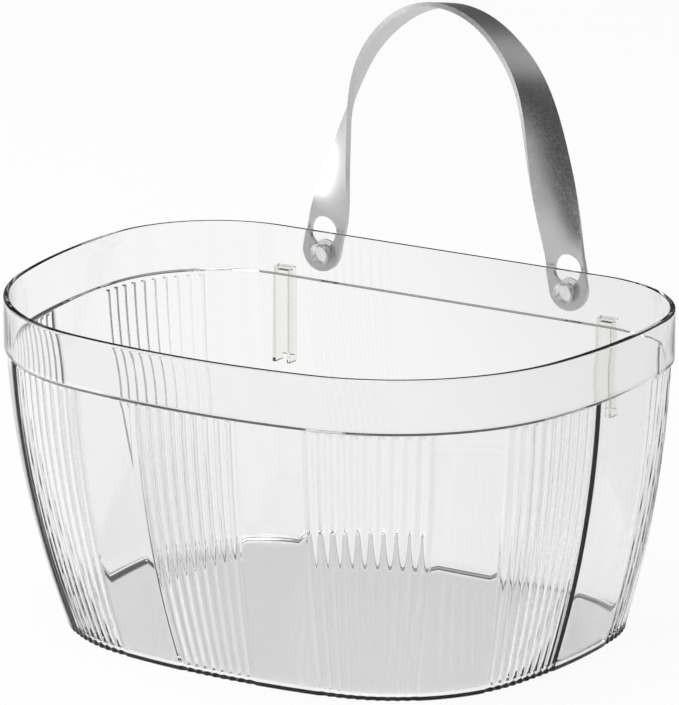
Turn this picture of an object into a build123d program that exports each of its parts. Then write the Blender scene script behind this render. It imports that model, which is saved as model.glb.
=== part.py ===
from build123d import *
import os
from math import ceil, cos, radians, sin, tan

# Shower caddy: a clear fluted tub with a flat back, a twisted strap handle on studs and two hanging pockets

# Tub: overall sizes
rim_width = 280.0
rim_depth = 205.5
tub_height = 145.0
base_width = 228.5
base_depth = 177.0
back_reach = 90.0  # from the origin to the rim's back face

# Tub: radii of the plan at the rim and at the base
rim_corner = 57.0
rim_shoulder = 93.0
base_corner = 50.0
base_shoulder = 69.0

# Tub: angles that the front, shoulder and side arcs turn through, from the middle of the front
front_turn = radians(9.4)
shoulder_turn = radians(67.8)
side_turn = radians(17.9)

# Tub: walls, rim band, neck groove and foot
wall = 2.4
floor = 2.5
floor_round = 5.0
band_height = 22.5
band_step = 1.2  # how far the band stands out over the wall below it
rim_bevel = 0.8
neck_height = 1.4
neck_inset = 1.2
foot_height = 1.6
foot_inset = 1.4
belly = 0.5  # share of the wall's lean that grows with depth
wall_bands = 3  # straight bands that make up the wall's curve
floor_bands = 2
bow_turn = radians(24)  # largest turn of one shallow curve
corner_bows = 3

# Flutes: groups along the wall, from the middle of the front to one back corner
middle_flutes = 9
side_flutes = (10, 10, 10)
pitch_top = 5.6
pitch_base = 4.2
panel_width = 29.3
panel_lift = 0.4  # the plain panels stand this far over the crests
flute_depth = 0.7
flute_profile = ((0.0, 0.0), (0.32, 1.0), (0.68, 1.0))  # stops as parts of the pitch and of the depth

# Handle strap
strap_width = 18.8
strap_thick = 2.2
strap_gap = 1.2  # between the strap and the rim band
strap_splay = radians(11.0)  # lean of the straight ends
strap_twist = radians(101.5)
twist_ease = 1.8
leg_radius = 1000.0
leg_end = radians(14.5)
shoulder_radius = 61.0
shoulder_end = radians(58.0)
tab_rise = 6.5  # height of the straight ends over the rim
tab_lead = 5.0  # length of the ends that the bent strap overlaps

# Keyholes and their studs
stud_x = 62.0
stud_drop = 10.5  # below the rim
neck_d = 7.2
head_d = 11.8
head_thick = 1.6
rivet_d = 9.8
rivet_thick = 1.1
bore_gap = 0.1  # round the neck in the rim band
keyhole_gap = 0.2  # under the neck and behind the strap, at rest
neck_room = 0.6  # round the neck in the keyhole's small end
waist_room = 0.25
head_room = 0.8  # round the head in the keyhole's large end
handle_drop = 10.0
tab_end = 8.2  # strap left below the stud

# Hanging pockets on the back
pocket_aside = 20.2  # from a stud outwards
pocket_width = 8.8
pocket_wall = 1.6
pocket_height = 43.6
pocket_over_band = 3.4
pocket_lip = 2.6  # how far the rear plate stops short of the cheeks
pocket_round = 1.2
seat_gap = 0.05

# Heights
band_z = tub_height - band_height
neck_z = band_z - neck_height
stud_z = tub_height - stud_drop

# Places behind the rim's back face
strap_back = strap_gap + strap_thick
head_face = strap_back + keyhole_gap
rear_reach = head_face + head_thick

# Hanging pockets beside the studs
pocket_x = stud_x + pocket_aside


class Outline:
    """D-shaped plan: flat back, round corners, bowed sides, round shoulders and a shallow bowed front."""

    def __init__(self, width, depth, corner, shoulder, back):
        front_end = front_turn
        shoulder_end = front_end + shoulder_turn
        side_end = shoulder_end + side_turn
        # The side radius follows from the depth, and the front radius closes the outline at the middle
        bow = tan(front_end / 2)
        fixed = corner * (1 + cos(side_end)) + shoulder * (1 - cos(shoulder_end))
        fixed += bow * (width / 2 - shoulder * sin(shoulder_end))
        slope = cos(shoulder_end) - cos(side_end) - bow * (1 - sin(shoulder_end))
        side = (depth - fixed) / slope
        self.back = back
        self.flat = width / 2 - side - (corner - side) * sin(side_end)
        corner_at = (self.flat, back - corner)
        side_at = self.shift(corner_at, corner - side, side_end)
        shoulder_at = self.shift(side_at, side - shoulder, shoulder_end)
        front = shoulder + shoulder_at[0] / sin(front_end)
        front_at = self.shift(shoulder_at, shoulder - front, front_end)
        self.arcs = (
            (front_at, front, 0.0, front_end),
            (shoulder_at, shoulder, front_end, shoulder_end),
            (side_at, side, shoulder_end, side_end),
            (corner_at, corner, side_end, radians(180)),
        )
        self.bend = sum(radius * (last - first) for _, radius, first, last in self.arcs)

    @staticmethod
    def shift(point, distance, angle):
        """Move a point along the outward normal at an angle from the front."""
        return (point[0] + distance * sin(angle), point[1] - distance * cos(angle))

    def at(self, distance, out=0.0):
        """Point at a distance along the outline from the middle of the front, moved outwards."""
        side = 1 if distance >= 0 else -1
        rest = abs(distance)
        for centre, radius, first, last in self.arcs:
            run = radius * (last - first)
            if rest <= run + 1e-9:
                x, y = self.shift(centre, radius + out, first + rest / radius)
                return (side * x, y)
            rest -= run
        return (side * (self.flat - rest), self.back + out)

    def bow(self, start, end):
        """Draw a shallow curve between two distances."""
        first = self.at(start)
        last = self.at(end)
        crown = self.at((start + end) / 2)
        Bezier(first, (2 * crown[0] - (first[0] + last[0]) / 2, 2 * crown[1] - (first[1] + last[1]) / 2), last)

    def draw_plain(self):
        """Draw the whole outline."""
        stops = [0.0]
        for _, radius, first, last in self.arcs:
            stops.append(stops[-1] + radius * (last - first))
        stops = [-stop for stop in reversed(stops[1:])] + stops
        for start, end in zip(stops, stops[1:]):
            ThreePointArc(self.at(start), self.at((start + end) / 2), self.at(end))
        Line(self.at(self.bend), self.at(-self.bend))

    def bow_run(self, start, end, count):
        """Draw a longer run as a row of shallow curves."""
        step = (end - start) / count
        for number in range(count):
            self.bow(start + number * step, start + (number + 1) * step)

    def draw_bowed(self):
        """Draw the whole outline as shallow curves, for a wall that changes shape with height."""
        start = -self.bend
        for _, radius, first, last in self.arcs[::-1] + self.arcs:
            end = start + radius * (last - first)
            self.bow_run(start, end, ceil((last - first) / bow_turn))
            start = end
        Line(self.at(self.bend), self.at(-self.bend))

    def draw_group(self, start, pitch, count):
        """Draw one group of hollow flutes with narrow crests, between the edges of two panels."""
        depth = flute_depth * pitch / pitch_top
        stops = [self.at(start)]
        for number in range(count):
            for part, drop in flute_profile:
                stops.append(self.at(start + (number + part) * pitch, -panel_lift - drop * depth))
        end = start + count * pitch
        Polyline(*stops, self.at(end, -panel_lift), self.at(end))

    def draw_fluted(self, pitch):
        """Draw the outline with its groups of flutes and the plain panels between them."""
        start = -middle_flutes * pitch / 2 - sum(side_flutes) * pitch - len(side_flutes) * panel_width
        self.bow_run(-self.bend, start, corner_bows)
        counts = side_flutes[::-1] + (middle_flutes,) + side_flutes
        for number, count in enumerate(counts):
            self.draw_group(start, pitch, count)
            start += count * pitch
            if number < len(counts) - 1:
                self.bow(start, start + panel_width)
                start += panel_width
        self.bow_run(start, self.bend, corner_bows)
        Line(self.at(self.bend), self.at(-self.bend))


def rim_outline(out):
    """Plan of the rim band, moved outwards."""
    return Outline(rim_width + 2 * out, rim_depth + 2 * out, rim_corner + out, rim_shoulder + out, back_reach + out)


def wall_outline(share, out=0.0):
    """Plan of the wall below the band, from 0 at the neck to 1 at the foot, moved outwards."""
    lean = share * (1 - belly + belly * share)
    inset = band_step * (1 - lean)
    width = rim_width + (base_width - rim_width) * lean - 2 * inset
    depth = rim_depth + (base_depth - rim_depth) * lean - 2 * inset
    corner = rim_corner + (base_corner - rim_corner) * lean - inset
    shoulder = rim_shoulder + (base_shoulder - rim_shoulder) * lean - inset
    back = back_reach - band_step
    return Outline(width + 2 * out, depth + 2 * out, corner + out, shoulder + out, back + out)


def wall_share(height):
    """Level of the wall at a height."""
    return (neck_z - height) / (neck_z - foot_height)


wall_heights = [neck_z + (foot_height - neck_z) * number / wall_bands for number in range(wall_bands + 1)]

# Inside of the tub, with a rounded floor
with BuildPart() as hollow:
    for number in range(floor_bands):
        turn = radians(90) * number / floor_bands
        height = floor + floor_round * (1 - cos(turn))
        with BuildSketch(Plane.XY.offset(height)):
            with BuildLine():
                wall_outline(wall_share(height), -wall - floor_round * (1 - sin(turn))).draw_bowed()
            make_face()
    for height in [floor + floor_round] + wall_heights[-2::-1]:
        with BuildSketch(Plane.XY.offset(height)):
            with BuildLine():
                wall_outline(wall_share(height), -wall).draw_bowed()
            make_face()
    loft(ruled=True)
    with BuildSketch(Plane.XY.offset(neck_z)):
        with BuildLine():
            wall_outline(0.0, -wall).draw_bowed()
        make_face()
    extrude(amount=neck_height + band_step)
    with BuildSketch(Plane.XY.offset(band_z + band_step)):
        with BuildLine():
            rim_outline(-wall).draw_plain()
        make_face()
    extrude(amount=band_height)

# Clear tub: foot, fluted wall, neck groove and plain rim band
with BuildPart() as tub:
    with BuildSketch():
        with BuildLine():
            wall_outline(1.0, -foot_inset).draw_plain()
        make_face()
    extrude(amount=foot_height)
    for height in wall_heights:
        share = wall_share(height)
        with BuildSketch(Plane.XY.offset(height)):
            with BuildLine():
                wall_outline(share).draw_fluted(pitch_top + (pitch_base - pitch_top) * share)
            make_face()
    loft(ruled=True)
    with BuildSketch(Plane.XY.offset(neck_z)):
        with BuildLine():
            wall_outline(0.0, -neck_inset).draw_plain()
        make_face()
    extrude(amount=neck_height)
    with BuildSketch(Plane.XY.offset(band_z)):
        with BuildLine():
            rim_outline(0.0).draw_plain()
        make_face()
    extrude(amount=band_height)
    add(hollow.part, mode=Mode.SUBTRACT)
    chamfer(tub.faces().sort_by(Axis.Z)[-1].edges(), rim_bevel)
    with BuildSketch(Plane.XZ.offset(-back_reach - wall)):
        with Locations((stud_x, stud_z), (-stud_x, stud_z)):
            Circle(neck_d / 2 + bore_gap)
    extrude(amount=4 * wall, mode=Mode.SUBTRACT)
tub.part.label = "tub"


def strap_place(share):
    """Centre of the strap and its lean on the right leg, from 0 at the straight end to 1 at the apex."""
    z = tub_height + tab_rise
    x = stud_x - (z - stud_z - handle_drop / 2) * tan(strap_splay)
    shoulder_x = x - leg_radius * (cos(strap_splay) - cos(leg_end))
    top_x = shoulder_x - shoulder_radius * (cos(leg_end) - cos(shoulder_end))
    arcs = (
        (leg_radius, strap_splay, leg_end),
        (shoulder_radius, leg_end, shoulder_end),
        (top_x / cos(shoulder_end), shoulder_end, radians(90)),
    )
    run = share * sum(radius * (last - first) for radius, first, last in arcs)
    for radius, first, last in arcs:
        lean = min(first + run / radius, last)
        x -= radius * (cos(first) - cos(lean))
        z += radius * (sin(lean) - sin(first))
        run -= radius * (lean - first)
        if lean < last:
            break
    return (x, z, lean)


def strap_plane(share, side):
    """Plane across the strap, with its x axis towards the edge that turns to the front at the top."""
    x, z, lean = strap_place(max(share, 0.0))
    if share < 0:
        x += tab_lead * sin(lean)
        z -= tab_lead * cos(lean)
    turn = strap_twist * (1 - (1 - max(share, 0.0)) ** twist_ease)
    across = (-side * cos(turn) * cos(lean), -sin(turn), -cos(turn) * sin(lean))
    along = (sin(lean), 0, -side * cos(lean))
    return Plane(origin=(side * x, strap_y, z), x_dir=across, z_dir=along)


strap_y = back_reach + strap_gap + strap_thick / 2
tab_across = (-cos(strap_splay), 0, -sin(strap_splay))
tab_plane = Plane(origin=(stud_x, strap_y, stud_z + handle_drop / 2), x_dir=tab_across, z_dir=(0, 1, 0))
hole_z = stud_z + neck_room - keyhole_gap
strap_shares = [-1.0, 0.0, 0.15, 0.32, 0.48, 0.6, 0.72, 0.86]

# Strap handle: flat ends with keyholes, legs that twist on their way up and a round top
with BuildPart() as handle:
    with BuildSketch(tab_plane.offset(-strap_thick / 2)):
        low = strap_width / 2 - tab_end - handle_drop / 2
        high = (tub_height + tab_rise - stud_z - handle_drop / 2) / cos(strap_splay) - tab_lead
        with Locations((0, low)):
            Circle(strap_width / 2)
            Rectangle(strap_width, high - low, align=(Align.CENTER, Align.MIN))
    extrude(amount=strap_thick)
    mirror(about=Plane.YZ)
    for share in strap_shares:
        with BuildSketch(strap_plane(share, -1)):
            Rectangle(strap_width, strap_thick)
    for share in [1.0] + strap_shares[::-1]:
        with BuildSketch(strap_plane(share, 1)):
            Rectangle(strap_width, strap_thick)
    loft()
    with BuildSketch(Plane.XZ.offset(-strap_y)):
        for side in (1, -1):
            with Locations((side * stud_x, hole_z)):
                Circle(neck_d / 2 + neck_room)
                Rectangle(neck_d + 2 * waist_room, handle_drop, align=(Align.CENTER, Align.MIN))
            with Locations((side * stud_x, stud_z + handle_drop)):
                Circle(head_d / 2 + head_room)
    extrude(amount=strap_thick, both=True, mode=Mode.SUBTRACT)
handle.part.label = "handle"


def make_stud(x):
    """Clear stud riveted through the rim band, with a neck for the keyhole and a round head."""
    with BuildPart() as stud:
        with BuildSketch(Plane.XY.offset(stud_z)):
            with Locations((x, back_reach - wall - rivet_thick)):
                Rectangle(rivet_d / 2, rivet_thick, align=(Align.MIN, Align.MIN))
                Rectangle(neck_d / 2, rivet_thick + wall + head_face, align=(Align.MIN, Align.MIN))
            with Locations((x, back_reach + head_face)):
                Rectangle(head_d / 2, head_thick, align=(Align.MIN, Align.MIN))
        revolve(axis=Axis((x, 0, stud_z), (0, 1, 0)))
    return stud.part


stud_right = make_stud(stud_x)
stud_right.label = "stud_right"
stud_left = make_stud(-stud_x)
stud_left.label = "stud_left"

# Outside of the back wall and band, as the pockets meet it
with BuildPart() as seat:
    for height in wall_heights:
        with BuildSketch(Plane.XY.offset(height)):
            with BuildLine():
                wall_outline(wall_share(height), seat_gap).draw_plain()
            make_face()
    loft(ruled=True)
    with BuildSketch(Plane.XY.offset(neck_z)):
        with BuildLine():
            wall_outline(0.0, seat_gap).draw_plain()
        make_face()
    extrude(amount=neck_height)
    with BuildSketch(Plane.XY.offset(band_z - seat_gap)):
        with BuildLine():
            rim_outline(seat_gap).draw_plain()
        make_face()
    extrude(amount=band_height)

pocket_top = band_z + pocket_over_band
pocket_depth = rear_reach + band_step + wall


def make_pocket(x):
    """Hanging pocket: two cheeks, a rear plate and a closed top, open below, shaped to the wall."""
    rear = back_reach + rear_reach
    inner = pocket_width - 2 * pocket_wall
    with BuildPart() as pocket:
        with BuildSketch(Plane.XY.offset(pocket_top)):
            with Locations((x, rear)):
                Rectangle(pocket_width, pocket_depth, align=(Align.CENTER, Align.MAX))
        extrude(amount=-pocket_height)
        rear_face = pocket.faces().sort_by(Axis.Y)[-1]
        fillet(rear_face.edges().sort_by(Axis.Z)[1:], pocket_round)
        with BuildSketch(Plane.XY.offset(pocket_top - pocket_wall)):
            with Locations((x, rear - pocket_wall)):
                Rectangle(inner, pocket_depth, align=(Align.CENTER, Align.MAX))
        extrude(amount=-pocket_height, mode=Mode.SUBTRACT)
        with BuildSketch(Plane.XY.offset(pocket_top - pocket_height)):
            with Locations((x, rear)):
                Rectangle(inner, pocket_depth, align=(Align.CENTER, Align.MAX))
        extrude(amount=pocket_lip, mode=Mode.SUBTRACT)
        add(seat.part, mode=Mode.SUBTRACT)
    return pocket.part


pocket_right = make_pocket(pocket_x)
pocket_right.label = "pocket_right"
pocket_left = make_pocket(-pocket_x)
pocket_left.label = "pocket_left"

os.makedirs("parts", exist_ok=True)
export_step(tub.part, "parts/tub.step")
export_step(handle.part, "parts/handle.step")
export_step(stud_right, "parts/stud_right.step")
export_step(stud_left, "parts/stud_left.step")
export_step(pocket_right, "parts/pocket_right.step")
export_step(pocket_left, "parts/pocket_left.step")
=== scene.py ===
import math

import bpy
from mathutils import Matrix, Vector


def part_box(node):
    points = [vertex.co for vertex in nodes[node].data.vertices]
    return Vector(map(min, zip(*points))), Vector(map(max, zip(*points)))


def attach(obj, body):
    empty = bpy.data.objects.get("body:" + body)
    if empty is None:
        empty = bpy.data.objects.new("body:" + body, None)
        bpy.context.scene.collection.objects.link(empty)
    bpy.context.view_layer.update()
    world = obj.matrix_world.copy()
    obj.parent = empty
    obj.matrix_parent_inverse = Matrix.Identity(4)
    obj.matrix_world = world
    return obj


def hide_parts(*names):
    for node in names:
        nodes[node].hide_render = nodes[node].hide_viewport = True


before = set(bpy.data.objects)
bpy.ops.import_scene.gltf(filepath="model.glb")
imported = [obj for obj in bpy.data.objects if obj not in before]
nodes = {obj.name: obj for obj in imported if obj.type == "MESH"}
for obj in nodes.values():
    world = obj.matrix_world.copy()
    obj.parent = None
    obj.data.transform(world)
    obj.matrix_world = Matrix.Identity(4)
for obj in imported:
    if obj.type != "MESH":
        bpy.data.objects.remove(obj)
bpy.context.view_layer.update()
scene = bpy.context.scene

MM = 0.001

# Plan of the tub: sizes in millimetres, taken from the frame where it has them
tub_low, tub_high = (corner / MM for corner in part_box("tub"))
rim_width = tub_high.x - tub_low.x
rim_depth = tub_high.y - tub_low.y
tub_height = tub_high.z
back_reach = tub_high.y
rim_corner = 57.0  # radius of the back corners
rim_shoulder = 93.0  # radius of the front shoulders
base_width = 232.6
base_depth = 179.3
base_corner = 50.6
base_shoulder = 70.9
front_turn = math.radians(9.4)  # angles through which the arcs of half the plan turn
shoulder_turn = math.radians(67.8)
side_turn = math.radians(17.9)
arc_slack = 1e-9  # allowance for rounding at the end of an arc

# Wall, base and foot of the tub
wall = 2.4
belly = 0.75  # share of the wall's lean that is curved
neck_height = 1.4  # from the step down to where the lean starts
foot_height = 1.6  # where the lean ends
foot_round = 1.0
foot_plain = 4.0  # from the wall in to where the underside no longer follows the flutes
base_thick = 0.9
base_round = 3.5  # rounding between the wall's inside and the base
flat_edge = 0.3  # flat strip beside a rounding, which keeps the shading even

# Rim band of the tub
band_height = 22.5
band_step = 1.2  # from the band's face in to the wall's
rim_outer = 0.8  # roundings of the rim's two edges
rim_inner = 0.35
step_above = 0.5  # from the step up to the top of the band's sloped lower edge
step_slope = 0.95  # height of that edge at the back
front_slope = 0.9  # how much further down it reaches at the front and sides
step_lip = 0.1  # rise of the band's underside from the neck out to that edge
step_soft = 0.15  # rounded share of the slope at each end
ledge_above = 20.0  # from the step up to where the band's inside starts to lean in
ledge_inset = 0.5  # how far it leans in

# Flutes: groups along the wall, from one back corner round the front to the other
group_flutes = (10, 10, 10, 9, 10, 10, 10)
pitch_top = 5.6
pitch_base = 4.2
panel_widths = (39.8, 29.3, 29.3, 29.3, 29.3, 39.8)
panel_lift = 0.2  # from the panels in to the crests
flute_depth = 0.9  # from the crests in to the valleys
valley_share = 0.62  # the valley's share of a flute's width
crest_drop = 2.9  # from the step down to the upper ends of the crests
crest_round = 1.4  # height over which they round off into the neck
neck_dip = panel_lift + flute_depth
neck_ramp = 0.3  # share of a flute over which the neck runs out towards a panel
back_neck = 0.5  # the neck's share of its depth at the back corners' groups

# Studs: a low round button inside the rim band, a neck and a round head behind the strap
bore_gap = 0.1
neck_radius = 3.6
button_radius = 4.9
button_rise = 1.1
button_edge = 0.35  # thickness of the domed button at its edge
head_thick = 1.6
head_round = 0.7

# Mesh resolution
crest_steps = (0.0, 0.095)  # parts of a flute's width
edge_steps = (0.0, 0.035, 0.07, 0.1, 0.13, 0.16)
valley_steps = (0.19, 0.26, 0.34, 0.42, 0.5, 0.58, 0.66, 0.74, 0.81)
panel_steps = 10
corner_steps = 20
back_steps = 16
wall_rows = 28
end_rows = 6
step_rows = 10
ledge_rows = 10
round_rows = 6
band_parts = (0.015, 0.25, 0.5, 0.75, 0.985)  # parts of the band's height
turned_steps = 64
sharp_angle = math.radians(35)  # edges that turn by more are shaded sharp

band_z = tub_height - band_height
neck_z = band_z - neck_height


class Outline:
    """D-shaped plan: flat back, round corners, bowed sides, round shoulders and a shallow bowed front."""

    def __init__(self, width, depth, corner, shoulder, back):
        front_end = front_turn
        shoulder_end = front_end + shoulder_turn
        side_end = shoulder_end + side_turn
        bow = math.tan(front_end / 2)
        fixed = corner * (1 + math.cos(side_end)) + shoulder * (1 - math.cos(shoulder_end))
        fixed += bow * (width / 2 - shoulder * math.sin(shoulder_end))
        slope = math.cos(shoulder_end) - math.cos(side_end) - bow * (1 - math.sin(shoulder_end))
        side = (depth - fixed) / slope
        self.back = back
        self.flat = width / 2 - side - (corner - side) * math.sin(side_end)
        corner_at = (self.flat, back - corner)
        side_at = self.shift(corner_at, corner - side, side_end)
        shoulder_at = self.shift(side_at, side - shoulder, shoulder_end)
        front = shoulder + shoulder_at[0] / math.sin(front_end)
        front_at = self.shift(shoulder_at, shoulder - front, front_end)
        self.arcs = (
            (front_at, front, 0.0, front_end),
            (shoulder_at, shoulder, front_end, shoulder_end),
            (side_at, side, shoulder_end, side_end),
            (corner_at, corner, side_end, math.pi),
        )
        self.bend = sum(radius * (last - first) for _, radius, first, last in self.arcs)

    @staticmethod
    def shift(point, distance, angle):
        """Move a point along the outward normal at an angle from the front."""
        return (point[0] + distance * math.sin(angle), point[1] - distance * math.cos(angle))

    def at(self, distance, out=0.0):
        """Point at a distance along the outline from the middle of the front, moved outwards."""
        side = 1 if distance >= 0 else -1
        rest = abs(distance)
        for centre, radius, first, last in self.arcs:
            run = radius * (last - first)
            if rest <= run + arc_slack:
                x, y = self.shift(centre, radius + out, first + rest / radius)
                return (side * x, y)
            rest -= run
        return (side * (self.flat - rest), self.back + out)


def rim_outline(out=0.0):
    """Plan of the rim band, moved outwards."""
    width = rim_width + 2 * out
    depth = rim_depth + 2 * out
    return Outline(width, depth, rim_corner + out, rim_shoulder + out, back_reach + out)


def wall_lean(share):
    """How far the barrel curve has come in at a level, from 0 at the neck to 1 at the foot."""
    return share * (1 - belly + belly * share)


def wall_outline(share, out=0.0):
    """Plan of the wall below the band, from 0 at the neck to 1 at the foot, moved outwards."""
    lean = wall_lean(share)
    inset = band_step * (1 - lean)
    width = rim_width + (base_width - rim_width) * lean - 2 * inset
    depth = rim_depth + (base_depth - rim_depth) * lean - 2 * inset
    corner = rim_corner + (base_corner - rim_corner) * lean - inset
    shoulder = rim_shoulder + (base_shoulder - rim_shoulder) * lean - inset
    back = back_reach - band_step
    return Outline(width + 2 * out, depth + 2 * out, corner + out, shoulder + out, back + out)


def wall_share(height):
    """Level of the wall at a height."""
    return (neck_z - height) / (neck_z - foot_height)


def ease(part):
    """Smooth step from 0 to 1."""
    return part * part * (3 - 2 * part)


def bevel(part):
    """Straight step from 0 to 1 with softly rounded ends."""
    if part < step_soft:
        return part * part / (2 * step_soft * (1 - step_soft))
    if part > 1 - step_soft:
        return 1 - (1 - part) ** 2 / (2 * step_soft * (1 - step_soft))
    return (part - step_soft / 2) / (1 - step_soft)


def quarter_turns(count):
    """Angles from 0 to a right angle, in equal steps."""
    return [math.pi / 2 * number / count for number in range(count + 1)]


def wave(step, first, last):
    """Height of a flute over the panels at a step of its pitch, at the top of the wall."""
    crest_half = (1 - valley_share) / 2
    land = -panel_lift - flute_depth * (1 - valley_share)
    away = min(step, 1 - step)
    if away < crest_half:
        if (first and step < 0.5) or (last and step > 0.5):
            return land * ease(away / crest_half)
        return land + flute_depth * (1 - valley_share) * (1 - (away / crest_half) ** 2)
    return land - flute_depth * valley_share * (1 - ((step - 0.5) / (valley_share / 2)) ** 2)


def flute_steps(first, last):
    """Steps across one flute, closer together on the edge of a panel."""
    rise = edge_steps if first else crest_steps
    fall = edge_steps if last else crest_steps
    return rise + valley_steps + tuple(1 - step for step in reversed(fall[1:]))


def at_back(group):
    """Whether a group is at a back corner."""
    return group in (0, len(group_flutes) - 1)


def neck_part(group, step, first, last):
    """Share of the neck's depth at a step of a flute."""
    away = 1.0
    if first:
        away = min(away, step / neck_ramp)
    if last:
        away = min(away, (1 - step) / neck_ramp)
    return ease(away) * (back_neck if at_back(group) else 1.0)


def plain_stops(zone, count, start=0.0, end=0.0):
    """Stops over a plain zone, from one share of the front's slope to another."""
    parts = [number / count for number in range(count)]
    return [(zone, part, 0.0, 0.0, start + (end - start) * ease(part)) for part in parts]


def group_stops(zone, group, front):
    """Stops over a group of flutes."""
    stops = []
    count = group_flutes[group]
    for flute in range(count):
        first = flute == 0
        last = flute == count - 1
        for step in flute_steps(first, last):
            depth = neck_part(group, step, first, last)
            stops.append((zone, (flute + step) / count, wave(step, first, last), depth, front))
    return stops


def stations():
    """Stops along the wall: zone, part of it, relief, shares of the neck's depth and the front's slope."""
    stops = plain_stops(0, corner_steps)
    zone = 1
    for group in range(len(group_flutes)):
        front = 0.0 if at_back(group) else 1.0
        stops += group_stops(zone, group, front)
        zone += 1
        if group < len(panel_widths):
            stops += plain_stops(zone, panel_steps, front, 0.0 if at_back(group + 1) else 1.0)
            zone += 1
    return stops + plain_stops(zone, corner_steps) + plain_stops(zone + 1, back_steps)


wall_stops = stations()
last_zone = wall_stops[-1][0]


def zone_edges(outline, pitch, grow):
    """Distances of the zones' edges along an outline, from the left back corner to the right one and back."""
    run = sum(group_flutes) * pitch + sum(panel_widths) * grow
    edges = [-outline.bend, -run / 2]
    for group, count in enumerate(group_flutes):
        edges.append(edges[-1] + count * pitch)
        if group < len(panel_widths):
            edges.append(edges[-1] + panel_widths[group] * grow)
    edges.append(outline.bend)
    edges.append(outline.bend + 2 * outline.flat)
    return edges


def ring(outline, share, height, scale=0.0, level=0.0, neck=0.0, lift=0.0):
    """Loop of points round an outline, with flutes at a scale, moved in at the neck and up at the front."""
    pitch = pitch_top + (pitch_base - pitch_top) * wall_lean(share)
    grow = outline.bend / wall_outline(share).bend
    edges = zone_edges(outline, pitch * grow, grow)
    points = []
    for zone, part, relief, depth, front in wall_stops:
        distance = edges[zone] + (edges[zone + 1] - edges[zone]) * part
        out = level + relief * scale * pitch / pitch_top + neck * depth
        if zone == last_zone:
            x = outline.flat * (1 - 2 * part)
            points.append((x, outline.back + out, height))
        else:
            x, y = outline.at(distance, out)
            points.append((x, y, height + lift * front))
    return points


def foot_rings():
    """Loops of the underside and the rounded foot."""
    foot = wall_outline(1.0)
    rings = [ring(wall_outline(1.0, -foot_plain), 1.0, 0.0)]
    rings.append(ring(foot, 1.0, 0.0, 1.0, -foot_round - flat_edge))
    for turn in quarter_turns(round_rows):
        level = -foot_round * (1 - math.sin(turn))
        rings.append(ring(foot, 1.0, foot_round * (1 - math.cos(turn)), 1.0, level))
    return rings


def wall_rings():
    """Loops of the fluted wall, whose crests round off into the neck at the depth of the flutes."""
    rings = []
    flute_top = band_z - crest_drop
    for row in range(wall_rows + 1):
        height = foot_height + (flute_top - foot_height) * row / wall_rows
        share = wall_share(height)
        rings.append(ring(wall_outline(share), share, height, 1.0))
    for row in range(1, end_rows + 1):
        part = row / end_rows
        height = flute_top + crest_round * part
        share = max(wall_share(height), 0.0)
        rings.append(ring(wall_outline(share), share, height, 1 - ease(part), neck=-neck_dip * ease(part)))
    return rings


def band_rings():
    """Loops of the band's underside, its sloped lower edge and its face."""
    slope_top = band_z + step_above
    face_top = tub_height - rim_outer
    under = rim_outline(-band_step)
    rings = [ring(under, 0.0, slope_top - step_slope, neck=-neck_dip, lift=-front_slope)]
    for row in range(step_rows + 1):
        below = 1 - row / step_rows
        edge = rim_outline(-band_step * bevel(below))
        height = slope_top - (step_slope - step_lip) * below
        rings.append(ring(edge, 0.0, height, lift=-front_slope * below))
    for part in band_parts:
        rings.append(ring(rim_outline(), 0.0, slope_top + (face_top - slope_top) * part))
    return rings


def rim_rings():
    """Loops of the rim's outer and inner roundings."""
    rings = []
    for turn in quarter_turns(round_rows):
        height = tub_height - rim_outer * (1 - math.sin(turn))
        rings.append(ring(rim_outline(-rim_outer * (1 - math.cos(turn))), 0.0, height))
    for turn in quarter_turns(round_rows):
        height = tub_height - rim_inner * (1 - math.cos(turn))
        rings.append(ring(rim_outline(-wall + rim_inner * (1 - math.sin(turn))), 0.0, height))
    return rings


def inside_rings():
    """Loops of the inside, where the band leans in a little towards the wall."""
    rings = []
    inside_top = tub_height - rim_inner
    ledge_top = band_z + ledge_above
    for part in band_parts:
        rings.append(ring(rim_outline(-wall), 0.0, inside_top + (ledge_top - inside_top) * part))
    for row in range(ledge_rows + 1):
        part = row / ledge_rows
        height = ledge_top + (neck_z - ledge_top) * part
        inset = ledge_inset * (part + ease(part)) / 2
        rings.append(ring(rim_outline(-wall - inset), 0.0, height))
    thinner = band_step - ledge_inset
    for row in range(1, wall_rows + 1):
        part = row / wall_rows
        height = neck_z + (base_thick + base_round - neck_z) * part
        share = wall_share(height)
        rings.append(ring(wall_outline(share, thinner * (1 - part) - wall), share, height))
    return rings


def base_rings():
    """Loops of the rounded inside corner and the edge of the base."""
    rings = []
    for turn in quarter_turns(round_rows)[1:]:
        height = base_thick + base_round * (1 - math.sin(turn))
        share = wall_share(height)
        inset = wall + base_round * (1 - math.cos(turn))
        rings.append(ring(wall_outline(share, -inset), share, height))
    share = wall_share(base_thick)
    rings.append(ring(wall_outline(share, -wall - base_round - flat_edge), share, base_thick))
    return rings


def tub_mesh():
    """Closed mesh of the tub: rings joined by quads, with flat fills for the underside and the base."""
    outside = foot_rings() + wall_rings() + band_rings()
    rings = outside + rim_rings() + inside_rings() + base_rings()
    count = len(wall_stops)
    verts = [tuple(value * MM for value in point) for loop in rings for point in loop]
    faces = [tuple(reversed(range(count)))]
    for row in range(len(rings) - 1):
        low = row * count
        high = low + count
        for number in range(count):
            following = (number + 1) % count
            faces.append((low + number, low + following, high + following, high + number))
    top = (len(rings) - 1) * count
    faces.append(tuple(range(top, top + count)))
    mesh = bpy.data.meshes.new("tub_shell")
    mesh.from_pydata(verts, [], faces)
    mesh.update()
    return mesh


def soften(mesh):
    """Shade a mesh smooth, apart from its sharp edges."""
    mesh.shade_smooth()
    mesh.set_sharp_from_angle(angle=sharp_angle)


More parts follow.
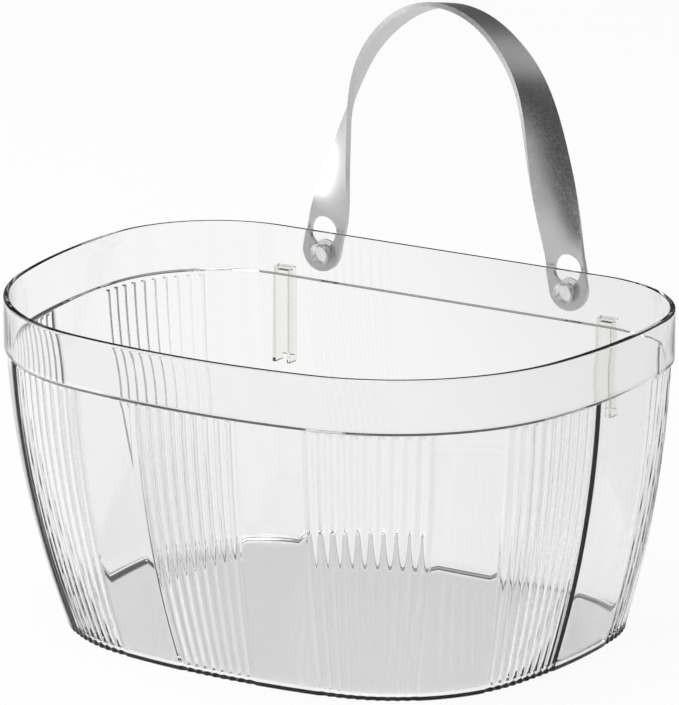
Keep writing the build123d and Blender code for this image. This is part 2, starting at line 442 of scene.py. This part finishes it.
def link(name, data):
    """New object in the scene for a mesh, a light or a camera."""
    piece = bpy.data.objects.new(name, data)
    scene.collection.objects.link(piece)
    return piece


def lathe(name, profile, x, z):
    """Mesh turned round a line along y, from (radius, y) points in mm that start and end on the line."""
    count = turned_steps
    rings = profile[1:-1]
    verts = [(x * MM, profile[0][1] * MM, z * MM)]
    for radius, y in rings:
        for number in range(count):
            turn = 2 * math.pi * number / count
            verts.append(((x + radius * math.cos(turn)) * MM, y * MM, (z + radius * math.sin(turn)) * MM))
    verts.append((x * MM, profile[-1][1] * MM, z * MM))
    end = len(verts) - 1
    faces = []
    for number in range(count):
        following = (number + 1) % count
        faces.append((0, 1 + number, 1 + following))
        for row in range(len(rings) - 1):
            low = 1 + row * count
            high = low + count
            faces.append((low + number, high + number, high + following, low + following))
        last = 1 + (len(rings) - 1) * count
        faces.append((last + number, end, last + following))
    mesh = bpy.data.meshes.new(name)
    mesh.from_pydata(verts, [], faces)
    mesh.update()
    soften(mesh)
    return mesh


def stud_profile(front, back, head_radius):
    """Half section of a stud from its front to its back."""
    face = front + button_rise
    points = [(0.0, front)]
    for number in range(1, round_rows + 1):
        part = number / round_rows
        points.append((button_radius * part, front + (button_rise - button_edge) * part * part * part))
    points.append((button_radius, face))
    points.append((neck_radius, face))
    points.append((neck_radius, back - head_thick))
    radius = head_radius - head_round
    for turn in quarter_turns(round_rows):
        y = back - head_thick + head_round * (1 - math.cos(turn))
        points.append((radius + head_round * math.sin(turn), y))
    for turn in quarter_turns(round_rows):
        y = back - head_round * (1 - math.sin(turn))
        points.append((radius + head_round * math.cos(turn), y))
    points.append((0.0, back))
    return points


def bore_hole(piece, x, z):
    """Cut the hole for a stud through the rim band at the back."""
    bore = neck_radius + bore_gap
    near = back_reach - 2 * wall
    far = back_reach + 2 * wall
    profile = ((0.0, near), (bore, near), (bore, far), (0.0, far))
    plug = link("plug", lathe("plug", profile, x, z))
    cut = piece.modifiers.new("hole", "BOOLEAN")
    cut.operation = "DIFFERENCE"
    cut.object = plug
    graph = bpy.context.evaluated_depsgraph_get()
    bored = bpy.data.meshes.new_from_object(piece.evaluated_get(graph))
    piece.modifiers.clear()
    bpy.data.objects.remove(plug)
    piece.data = bored


tub = link("tub_shell", tub_mesh())
studs = []
for side in ("left", "right"):
    low, high = (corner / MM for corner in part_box("stud_" + side))
    head_radius = (high.x - low.x) / 2
    stud_x = (low.x + high.x) / 2
    stud_z = (low.z + high.z) / 2
    name = "stud_" + side + "_turned"
    stud = link(name, lathe(name, stud_profile(low.y, high.y, head_radius), stud_x, stud_z))
    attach(stud, "tub")
    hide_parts("stud_" + side)
    studs.append(stud)
    bore_hole(tub, stud_x, stud_z)
tub.data.name = "tub_shell"
soften(tub.data)
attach(tub, "tub")
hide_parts("tub")

# Looks of the materials
white = (1.0, 1.0, 1.0, 1.0)
noise_middle = (0.3, 0.7)  # the range that most of a noise texture lies in
plastic_bend = 1.49  # refractive index
tub_colour = (0.94, 0.94, 0.94)
tub_absorb = (0.80, 0.81, 0.76)
tub_density = 15.0
pocket_bend = 1.25
pocket_colour = (0.96, 0.957, 0.945)
pocket_absorb = (0.70, 0.70, 0.62)
pocket_density = 60.0
polish_scale = 40.0
polish_rough = (0.0, 0.03)
polish_detail = 3.0
stud_clear = 0.75
stud_pale = (0.98, 0.98, 0.98, 1.0)
stud_grey = (0.93, 0.93, 0.93, 1.0)
cloud_scale = 300.0
cloud_detail = 4.0
cloud_rough = (0.04, 0.1)
coat_rough = 0.05
metal_colour = (0.61, 0.61, 0.615, 1.0)
grain_scale = 900.0
grain_detail = 5.0
grain_rough = (0.28, 0.4)


def new_material(name):
    """New node material, with its node tree and its shader."""
    material = bpy.data.materials.new(name)
    material.use_nodes = True
    tree = material.node_tree
    return material, tree, tree.nodes["Principled BSDF"]


def noise(tree, scale, detail):
    """Noise over the object's own coordinates."""
    place = tree.nodes.new("ShaderNodeTexCoord")
    texture = tree.nodes.new("ShaderNodeTexNoise")
    texture.inputs["Scale"].default_value = scale
    texture.inputs["Detail"].default_value = detail
    tree.links.new(place.outputs["Object"], texture.inputs["Vector"])
    return texture.outputs["Fac"]


def map_range(tree, source, ends, values, smooth=False):
    """Map a value from one range to another."""
    node = tree.nodes.new("ShaderNodeMapRange")
    if smooth:
        node.interpolation_type = "SMOOTHSTEP"
    node.inputs["From Min"].default_value = ends[0]
    node.inputs["From Max"].default_value = ends[1]
    node.inputs["To Min"].default_value = values[0]
    node.inputs["To Max"].default_value = values[1]
    tree.links.new(source, node.inputs["Value"])
    return node.outputs["Result"]


def maths(tree, operation, one, two):
    """Math node of two sockets or numbers."""
    node = tree.nodes.new("ShaderNodeMath")
    node.operation = operation
    for socket, value in zip(node.inputs, (one, two)):
        if isinstance(value, (int, float)):
            socket.default_value = value
        else:
            tree.links.new(value, socket)
    return node.outputs[0]


def clear_plastic(name, colour, absorb, density, bend):
    """Clear moulded plastic with a little unevenness in its polish, darker where it is looked at edge on."""
    material, tree, shader = new_material(name)
    shader.inputs["Base Color"].default_value = (*colour, 1.0)
    shader.inputs["Transmission Weight"].default_value = 1.0
    shader.inputs["IOR"].default_value = bend
    polish = noise(tree, polish_scale, polish_detail)
    tree.links.new(map_range(tree, polish, noise_middle, polish_rough), shader.inputs["Roughness"])
    depth = tree.nodes.new("ShaderNodeVolumeAbsorption")
    depth.inputs["Color"].default_value = (*absorb, 1.0)
    depth.inputs["Density"].default_value = density
    tree.links.new(depth.outputs["Volume"], tree.nodes["Material Output"].inputs["Volume"])
    return material


def milky_plastic():
    """Clear, slightly cloudy plastic of the studs."""
    material, tree, shader = new_material("stud_plastic")
    shader.inputs["Transmission Weight"].default_value = stud_clear
    shader.inputs["IOR"].default_value = plastic_bend
    cloud = noise(tree, cloud_scale, cloud_detail)
    tint = tree.nodes.new("ShaderNodeMix")
    tint.data_type = "RGBA"
    tint.inputs["A"].default_value = stud_grey
    tint.inputs["B"].default_value = stud_pale
    tree.links.new(cloud, tint.inputs["Factor"])
    tree.links.new(tint.outputs["Result"], shader.inputs["Base Color"])
    tree.links.new(map_range(tree, cloud, noise_middle, cloud_rough), shader.inputs["Roughness"])
    shader.inputs["Coat Weight"].default_value = 1.0
    shader.inputs["Coat Roughness"].default_value = coat_rough
    return material


def satin_metal():
    """Satin strip metal with a fine grain."""
    material, tree, shader = new_material("satin_metal")
    shader.inputs["Metallic"].default_value = 1.0
    shader.inputs["Base Color"].default_value = metal_colour
    grain = noise(tree, grain_scale, grain_detail)
    tree.links.new(map_range(tree, grain, noise_middle, grain_rough), shader.inputs["Roughness"])
    return material


tub_plastic = clear_plastic("clear_plastic", tub_colour, tub_absorb, tub_density, plastic_bend)
pocket_plastic = clear_plastic("pocket_plastic", pocket_colour, pocket_absorb, pocket_density, pocket_bend)
stud_plastic = milky_plastic()
metal = satin_metal()
tub.data.materials.append(tub_plastic)
for stud in studs:
    stud.data.materials.append(stud_plastic)
for name, material in (("handle", metal), ("pocket_left", pocket_plastic), ("pocket_right", pocket_plastic)):
    nodes[name].data.materials.clear()
    nodes[name].data.materials.append(material)

# Floor: white paper, which stays white as the background
floor_size = 12.0
floor_z = -0.0005  # just under the tub
paper_colour = (0.9, 0.9, 0.9, 1.0)
paper_rough = 0.9
camera_share = 0.93  # share of plain white in the paper where the camera looks at it
through_shares = (1.0, 0.55)  # the same through the plastic, near the key light and away from it
mirror_share = 0.42  # the same in reflections
shade_across = (0.8, 0.6, 0.0)  # way from the key light, to the right behind the tub
shade_ends = (0.03, 0.2)  # distances that way, in metres, between which the paper gets darker


def paper():
    """White paper with a soft shadow, whose share of plain white depends on how it is seen."""
    material, tree, shader = new_material("floor")
    shader.inputs["Base Color"].default_value = paper_colour
    shader.inputs["Roughness"].default_value = paper_rough
    glow = tree.nodes.new("ShaderNodeEmission")
    glow.inputs["Color"].default_value = white
    glow.inputs["Strength"].default_value = 1.0
    path = tree.nodes.new("ShaderNodeLightPath")
    seen = maths(tree, "MULTIPLY", path.outputs["Is Camera Ray"], camera_share)
    place = tree.nodes.new("ShaderNodeTexCoord")
    across = tree.nodes.new("ShaderNodeVectorMath")
    across.operation = "DOT_PRODUCT"
    across.inputs[1].default_value = shade_across
    tree.links.new(place.outputs["Object"], across.inputs[0])
    side_share = map_range(tree, across.outputs["Value"], shade_ends, through_shares, smooth=True)
    through = maths(tree, "MULTIPLY", path.outputs["Is Transmission Ray"], side_share)
    mirrored = maths(tree, "MULTIPLY", path.outputs["Is Glossy Ray"], mirror_share)
    share = maths(tree, "MAXIMUM", maths(tree, "MAXIMUM", seen, through), mirrored)
    mix = tree.nodes.new("ShaderNodeMixShader")
    tree.links.new(share, mix.inputs["Fac"])
    tree.links.new(shader.outputs["BSDF"], mix.inputs[1])
    tree.links.new(glow.outputs["Emission"], mix.inputs[2])
    tree.links.new(mix.outputs["Shader"], tree.nodes["Material Output"].inputs["Surface"])
    return material


half = floor_size / 2
floor_corners = [(-half, -half, 0), (half, -half, 0), (half, half, 0), (-half, half, 0)]
floor_mesh = bpy.data.meshes.new("floor")
floor_mesh.from_pydata(floor_corners, [], [(0, 1, 2, 3)])
floor_mesh.materials.append(paper())
floor_object = link("floor", floor_mesh)
floor_object.location.z = floor_z

# World: a studio that is dim near the floor and paler above, and white only where it is the background
dim_rise = math.radians(22)
pale_rise = math.radians(50)
room_levels = (0.07, 0.4)


def studio():
    """World of the studio."""
    world = bpy.data.worlds.new("studio")
    world.use_nodes = True
    tree = world.node_tree
    room = tree.nodes["Background"]
    room.inputs["Strength"].default_value = 1.0
    towards = tree.nodes.new("ShaderNodeTexCoord")
    split = tree.nodes.new("ShaderNodeSeparateXYZ")
    tree.links.new(towards.outputs["Generated"], split.inputs["Vector"])
    rises = (math.sin(dim_rise), math.sin(pale_rise))
    tree.links.new(map_range(tree, split.outputs["Z"], rises, room_levels, smooth=True), room.inputs["Color"])
    backdrop = tree.nodes.new("ShaderNodeBackground")
    backdrop.inputs["Color"].default_value = white
    backdrop.inputs["Strength"].default_value = 1.0
    path = tree.nodes.new("ShaderNodeLightPath")
    mix = tree.nodes.new("ShaderNodeMixShader")
    tree.links.new(path.outputs["Is Camera Ray"], mix.inputs["Fac"])
    tree.links.new(room.outputs["Background"], mix.inputs[1])
    tree.links.new(backdrop.outputs["Background"], mix.inputs[2])
    tree.links.new(mix.outputs["Shader"], tree.nodes["World Output"].inputs["Surface"])
    return world


scene.world = studio()

# Lamps: name, angle from the front and rise in degrees, distance, width and height in metres, power in watts
lamps = (
    ("key", -75.0, 19.0, 1.6, 1.9, 1.3, 24.0),
    ("top", 0.0, 85.0, 1.9, 0.8, 0.8, 9.0),
    ("front", 0.0, 50.0, 1.8, 0.9, 0.7, 9.0),
    ("rear", 156.0, 27.0, 1.8, 1.0, 0.8, 1.1),
)
light_target = Vector((0.0, 0.0, 0.12))


def direction(turn, rise):
    """Direction from the tub at an angle from the front and a rise over the floor, in radians."""
    return Vector((math.sin(turn) * math.cos(rise), -math.cos(turn) * math.cos(rise), math.sin(rise)))


def soft_light(name, turn, rise, distance, width, height, power):
    """Soft box aimed at the tub."""
    data = bpy.data.lights.new(name, "AREA")
    data.shape = "RECTANGLE"
    data.size = width
    data.size_y = height
    data.energy = power
    light = link(name, data)
    aside = direction(math.radians(turn), math.radians(rise))
    light.location = light_target + aside * distance
    light.rotation_euler = (-aside).to_track_quat("-Z", "Y").to_euler()
    light.visible_camera = False


for lamp in lamps:
    soft_light(*lamp)

# Camera at the photograph's angle, with lengths in millimetres
image_height = 705
sensor_width = 36.0
view_turn = math.radians(32.10)
view_rise = math.radians(15.67)
view_distance = 2600.0
view_scale = 2.365  # pixels per millimetre at the target
view_end = 50.0  # furthest distance seen, in metres
shift_right = 2.93  # from the aim to the middle of the view
shift_up = -24.16
aim = Vector((0.0, 0.0, tub_height))
backwards = direction(view_turn, view_rise)
right = Vector((math.cos(view_turn), math.sin(view_turn), 0.0))
up = backwards.cross(right)
camera_data = bpy.data.cameras.new("camera")
camera_data.sensor_width = sensor_width
camera_data.lens = view_scale * view_distance * sensor_width / image_height
camera_data.clip_end = view_end
camera = link("camera", camera_data)
eye = (aim + backwards * view_distance + right * shift_right + up * shift_up) * MM
camera.matrix_world = Matrix.Translation(eye) @ Matrix((right, up, backwards)).transposed().to_4x4()
scene.camera = camera

scene.view_settings.view_transform = "Standard"
